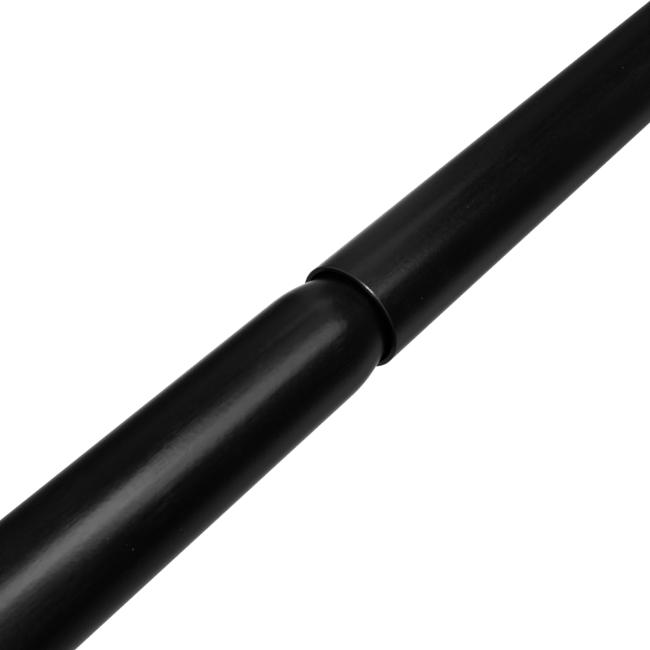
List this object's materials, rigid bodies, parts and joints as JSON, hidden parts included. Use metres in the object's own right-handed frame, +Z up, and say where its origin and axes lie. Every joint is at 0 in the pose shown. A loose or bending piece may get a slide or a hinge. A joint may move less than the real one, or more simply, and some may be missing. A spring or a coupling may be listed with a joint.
{
  "type": "adjustable door security bar",
  "caption": "Adjustable steel bar that braces a door: plug-together painted tubes, a telescoping end with a padded swivel foot, and a lined yoke for the door knob.",
  "frame": {"origin": "middle of the bar's box, on the plane it lies on, with the telescope closed and the sections pushed together", "axes": "+X along the bar from the foot's sole to the yoke's tips, +Y across the yoke's mouth on the side of the adjusting holes, +Z up from the plane that the bar lies on"},
  "size_m": [0.89, 0.084, 0.044],
  "materials": {
    "black_paint": "semi-gloss black paint on drawn steel tube",
    "moulded_black": "fine-textured moulding",
    "black_rubber": "matt moulded rubber",
    "white_nylon": "natural nylon, satin",
    "zinc_steel": "bright zinc plate",
    "spring_steel": "bare spring steel"
  },
  "bodies": {
    "main": {"main_tube": "black_paint", "end_collar": "moulded_black", "guide_bushing": "white_nylon", "collar_screw_top": "zinc_steel", "collar_screw_bottom": "zinc_steel"},
    "lower": {"adjusting_tube": "black_paint", "tube_glide": "white_nylon", "button_spring": "spring_steel", "foot_plug": "moulded_black", "plug_screw_top": "zinc_steel", "plug_screw_bottom": "zinc_steel"},
    "button": {"length_button": "zinc_steel"},
    "stud": {"ball_stud": "zinc_steel", "stud_washer": "zinc_steel", "stud_nut": "zinc_steel"},
    "liner": {"socket_liner": "white_nylon"},
    "foot": {"foot_pad": "black_rubber", "foot_plate": "zinc_steel", "foot_socket": "moulded_black", "retaining_ring": "moulded_black", "foot_screw_1": "zinc_steel", "foot_screw_2": "zinc_steel", "foot_screw_3": "zinc_steel", "foot_screw_4": "zinc_steel"},
    "upper": {"upper_tube": "black_paint", "top_bumper": "black_rubber"},
    "yoke": {"yoke_body": "moulded_black", "yoke_lining": "black_rubber", "grip_ring": "black_rubber"}
  },
  "joints": [
    {"name": "telescope", "type": "slide", "parent": "main", "child": "lower", "axis": [-1, 0, 0], "range_m": [0, 0.24]},
    {"name": "length_button_press", "type": "slide", "parent": "lower", "child": "button", "axis": [0, -1, 0], "range_m": [0, 0.004], "stiffness_N_per_m": 2000, "springref_m": -0.003, "deforming": ["button_spring"]},
    {"name": "foot_spin", "type": "hinge", "parent": "lower", "child": "stud", "pos_m": [-0.4165, 0, 0.022], "axis": [1, 0, 0], "continuous": true},
    {"name": "foot_pitch", "type": "hinge", "parent": "stud", "child": "liner", "pos_m": [-0.4165, 0, 0.022], "axis": [0, 1, 0], "range_deg": [-40, 40]},
    {"name": "foot_yaw", "type": "hinge", "parent": "liner", "child": "foot", "pos_m": [-0.4165, 0, 0.022], "axis": [0, 0, 1], "range_deg": [-15, 15]},
    {"name": "section_pull", "type": "slide", "parent": "main", "child": "upper", "axis": [1, 0, 0], "range_m": [0, 0.064]},
    {"name": "yoke_pull", "type": "slide", "parent": "upper", "child": "yoke", "axis": [1, 0, 0], "range_m": [0, 0.058]}
  ]
}
